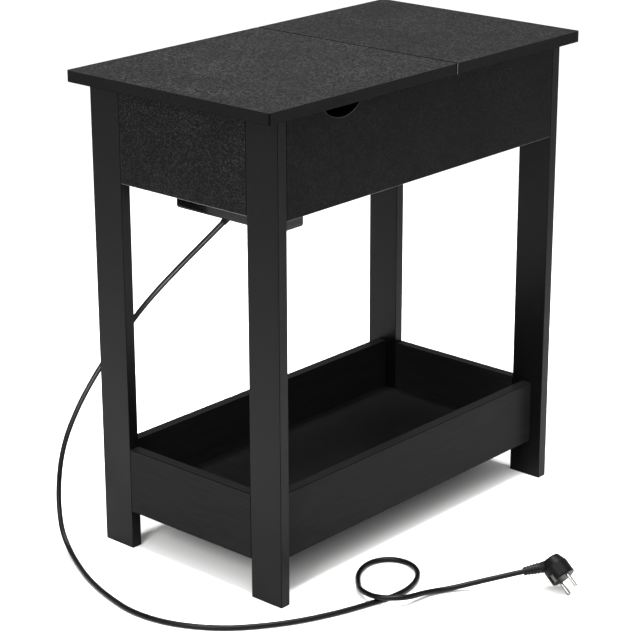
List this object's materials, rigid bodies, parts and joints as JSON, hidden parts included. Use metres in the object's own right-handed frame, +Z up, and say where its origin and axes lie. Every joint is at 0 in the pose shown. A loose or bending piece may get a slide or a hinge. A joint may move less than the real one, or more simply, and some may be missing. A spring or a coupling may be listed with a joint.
{
  "type": "lift top end table",
  "caption": "Narrow black end table with a hinged lid over a storage compartment, a low tray, and a power unit whose mains cord and plug lie on the floor.",
  "frame": {"origin": "centre of the table's footprint, on the floor", "axes": "+X along the top from the lid's end to the fixed end, -Y to the front with the finger notch, +Z up"},
  "size_m": [0.7074, 0.6214, 0.63],
  "materials": {
    "black_board": "black embossed melamine board, satin",
    "floor_panel": "black melamine panel, satin",
    "beech": "bare turned beech",
    "hinge_steel": "zinc plated steel",
    "screw_steel": "zinc plated steel",
    "block_plastic": "matt black plastic",
    "housing_plastic": "matt black plastic",
    "insert_plastic": "fine matt black plastic",
    "earth_brass": "bare brass",
    "tongue_plastic": "white plastic",
    "gland_rubber": "black rubber",
    "cord_rubber": "black cord jacket",
    "plug_plastic": "glossy black moulding",
    "plated_metal": "nickel plated metal"
  },
  "bodies": {
    "table": {"fixed_top": "black_board", "leg_front_left": "black_board", "leg_back_left": "black_board", "leg_front_right": "black_board", "leg_back_right": "black_board", "apron_front": "black_board", "apron_back": "black_board", "apron_left": "black_board", "apron_right": "black_board", "tray_front": "black_board", "tray_back": "black_board", "tray_left": "black_board", "tray_right": "black_board", "seam_rail": "black_board", "compartment_floor": "floor_panel", "tray_floor": "floor_panel", "frame_dowels": "beech", "tray_dowels": "beech", "hinge_left_fixed_leaf": "hinge_steel", "hinge_left_pin": "hinge_steel", "hinge_right_fixed_leaf": "hinge_steel", "hinge_right_pin": "hinge_steel", "hinge_fixed_screws": "screw_steel", "block_screws": "screw_steel", "power_screws": "screw_steel", "top_blocks": "block_plastic", "power_housing": "housing_plastic", "power_face": "housing_plastic", "socket_front": "insert_plastic", "socket_back": "insert_plastic", "port_module": "insert_plastic", "earth_clips": "earth_brass", "port_tongues": "tongue_plastic", "cord_gland": "gland_rubber", "cord": "cord_rubber", "plug_relief": "cord_rubber", "plug_body": "plug_plastic", "plug_pins": "plated_metal", "plug_contacts": "plated_metal"},
    "lid": {"lid": "black_board", "hinge_left_lid_leaf": "hinge_steel", "hinge_right_lid_leaf": "hinge_steel", "hinge_lid_screws": "screw_steel"}
  },
  "joints": [
    {"name": "lid_hinge", "type": "hinge", "parent": "table", "child": "lid", "pos_m": [-0.1305, 0.159, 0.615], "axis": [-1, 0, 0], "range_deg": [0, 100]}
  ]
}
